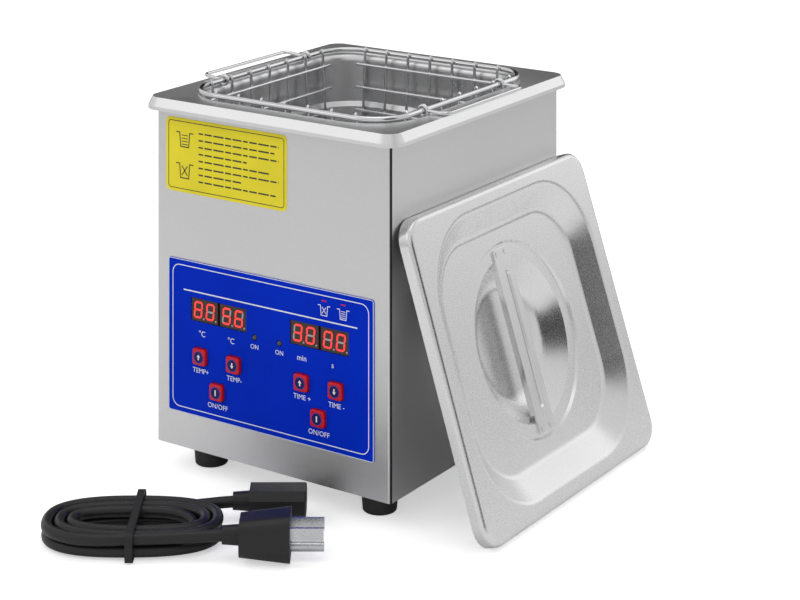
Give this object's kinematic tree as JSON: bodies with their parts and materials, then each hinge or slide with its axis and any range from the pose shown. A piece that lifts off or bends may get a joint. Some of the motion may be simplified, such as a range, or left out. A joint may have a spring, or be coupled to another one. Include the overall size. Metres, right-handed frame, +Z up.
{
  "type": "ultrasonic cleaner",
  "caption": "Bench ultrasonic cleaner: stainless tank in a square casing with a front control panel, wire basket, leaning lift-off lid and coiled mains lead.",
  "frame": {"origin": "middle of the rectangle of the four feet, on the bench", "axes": "+Z up; -Y out of the control panel; +X to the user's right"},
  "size_m": [0.2262, 0.3107, 0.215],
  "materials": {
    "black_plastic": "fine textured moulding",
    "black_rubber": "matt moulded rubber",
    "blue_panel": "printed polyester film",
    "brass_parts": "plated brass",
    "brushed_steel": "fine brushed stainless sheet",
    "button_red": "moulded cap with printed ring",
    "capacitor_sleeve": "shrink sleeve",
    "cast_aluminium": "machined",
    "ceramic": "fired piezo ceramic, silvered faces",
    "circuit_board": "glass-epoxy board",
    "cord_black": "soft matt PVC",
    "display_body": "moulded display face",
    "ferrite": "ferrite core with enamelled wire",
    "fuse_glass": "glass cartridge fuse",
    "heater_silicone": "silicone heater mat",
    "lead_insulation": "silicone insulation",
    "polished_steel": "drawn stainless sheet, polished inside",
    "red_lamp": "tinted epoxy, unlit",
    "ribbon_grey": "flat cable",
    "satin_steel": "satin pressed stainless sheet",
    "screw_steel": "plated steel",
    "seal_rubber": "silicone foam",
    "terminal_green": "moulded",
    "tie_plastic": "coated wire tie",
    "wire_steel": "electropolished stainless wire",
    "yellow_label": "printed vinyl"
  },
  "bodies": {
    "cleaner": {"tank": "polished_steel", "flange_gasket": "seal_rubber", "casing": "brushed_steel", "base_plate": "brushed_steel", "rear_panel": "brushed_steel", "rubber_feet": "black_rubber", "foot_fasteners": "screw_steel", "case_screws": "screw_steel", "board_screws": "screw_steel", "board_posts": "brass_parts", "front_overlay": "blue_panel", "info_label": "yellow_label", "tact_switches": "black_plastic", "temperature_display": "display_body", "timer_display": "display_body", "status_lamps": "red_lamp", "control_board": "circuit_board", "controller_chips": "black_plastic", "transducer_horn": "cast_aluminium", "piezo_rings": "ceramic", "electrodes": "brass_parts", "transducer_back_mass": "screw_steel", "transducer_bolt": "screw_steel", "heater_pads": "heater_silicone", "temperature_sensor": "brass_parts", "driver_board": "circuit_board", "output_transformer": "ferrite", "capacitors": "capacitor_sleeve", "heatsink": "cast_aluminium", "power_transistors": "black_plastic", "terminal_blocks": "terminal_green", "internal_leads": "lead_insulation", "ribbon_cable": "ribbon_grey", "earth_stud": "brass_parts", "mains_inlet": "black_plastic", "inlet_pins": "brass_parts", "switch_housing": "black_plastic"},
    "lid": {"lid_pan": "satin_steel", "lid_handle": "satin_steel", "handle_rivets": "satin_steel"},
    "basket": {"basket_rim": "wire_steel", "basket_hoops": "wire_steel", "basket_level_wires": "wire_steel"},
    "basket_bow_left": {"basket_handle_left": "wire_steel"},
    "basket_bow_right": {"basket_handle_right": "wire_steel"},
    "fuse_carrier": {"fuse_drawer": "black_plastic", "fuse": "fuse_glass"},
    "power_rocker": {"rocker": "black_plastic"},
    "mains_lead": {"mains_cord": "cord_black", "cord_connector": "cord_black", "mains_plug": "cord_black", "plug_pins": "brass_parts", "cord_tie": "tie_plastic"},
    "button_temp_up": {"button_temp_up": "button_red"},
    "button_temp_down": {"button_temp_down": "button_red"},
    "button_heat_on_off": {"button_heat_on_off": "button_red"},
    "button_time_up": {"button_time_up": "button_red"},
    "button_time_down": {"button_time_down": "button_red"},
    "button_clean_on_off": {"button_clean_on_off": "button_red"}
  },
  "joints": [
    {"name": "lid_lift_away", "type": "slide", "parent": "cleaner", "child": "lid", "axis": [0.9511, 0, 0.309], "range_m": [0, 0.15]},
    {"name": "basket_lift", "type": "slide", "parent": "cleaner", "child": "basket", "axis": [0, 0, 1], "range_m": [0, 0.12]},
    {"name": "basket_bow_left_fold", "type": "hinge", "parent": "basket", "child": "basket_bow_left", "pos_m": [-0.0693, 0, 0.2115], "axis": [0, 1, 0], "range_deg": [-4, 170]},
    {"name": "basket_bow_right_fold", "type": "hinge", "parent": "basket", "child": "basket_bow_right", "pos_m": [0.0693, 0, 0.2115], "axis": [0, -1, 0], "range_deg": [0, 170]},
    {"name": "fuse_drawer_pull", "type": "slide", "parent": "cleaner", "child": "fuse_carrier", "axis": [0, 1, 0], "range_m": [0, 0.022]},
    {"name": "power_rocker_tilt", "type": "hinge", "parent": "cleaner", "child": "power_rocker", "pos_m": [-0.038, 0.086, 0.062], "axis": [1, 0, 0], "range_deg": [0, 18]},
    {"name": "mains_lead_lift", "type": "slide", "parent": "cleaner", "child": "mains_lead", "axis": [0, 0, 1], "range_m": [0, 0.1]},
    {"name": "button_temp_up_press", "type": "slide", "parent": "cleaner", "child": "button_temp_up", "axis": [0, 1, 0], "range_m": [0, 0.0005], "stiffness_N_per_m": 3000},
    {"name": "button_temp_down_press", "type": "slide", "parent": "cleaner", "child": "button_temp_down", "axis": [0, 1, 0], "range_m": [0, 0.0005], "stiffness_N_per_m": 3000},
    {"name": "button_heat_on_off_press", "type": "slide", "parent": "cleaner", "child": "button_heat_on_off", "axis": [0, 1, 0], "range_m": [0, 0.0005], "stiffness_N_per_m": 3000},
    {"name": "button_time_up_press", "type": "slide", "parent": "cleaner", "child": "button_time_up", "axis": [0, 1, 0], "range_m": [0, 0.0005], "stiffness_N_per_m": 3000},
    {"name": "button_time_down_press", "type": "slide", "parent": "cleaner", "child": "button_time_down", "axis": [0, 1, 0], "range_m": [0, 0.0005], "stiffness_N_per_m": 3000},
    {"name": "button_clean_on_off_press", "type": "slide", "parent": "cleaner", "child": "button_clean_on_off", "axis": [0, 1, 0], "range_m": [0, 0.0005], "stiffness_N_per_m": 3000}
  ]
}
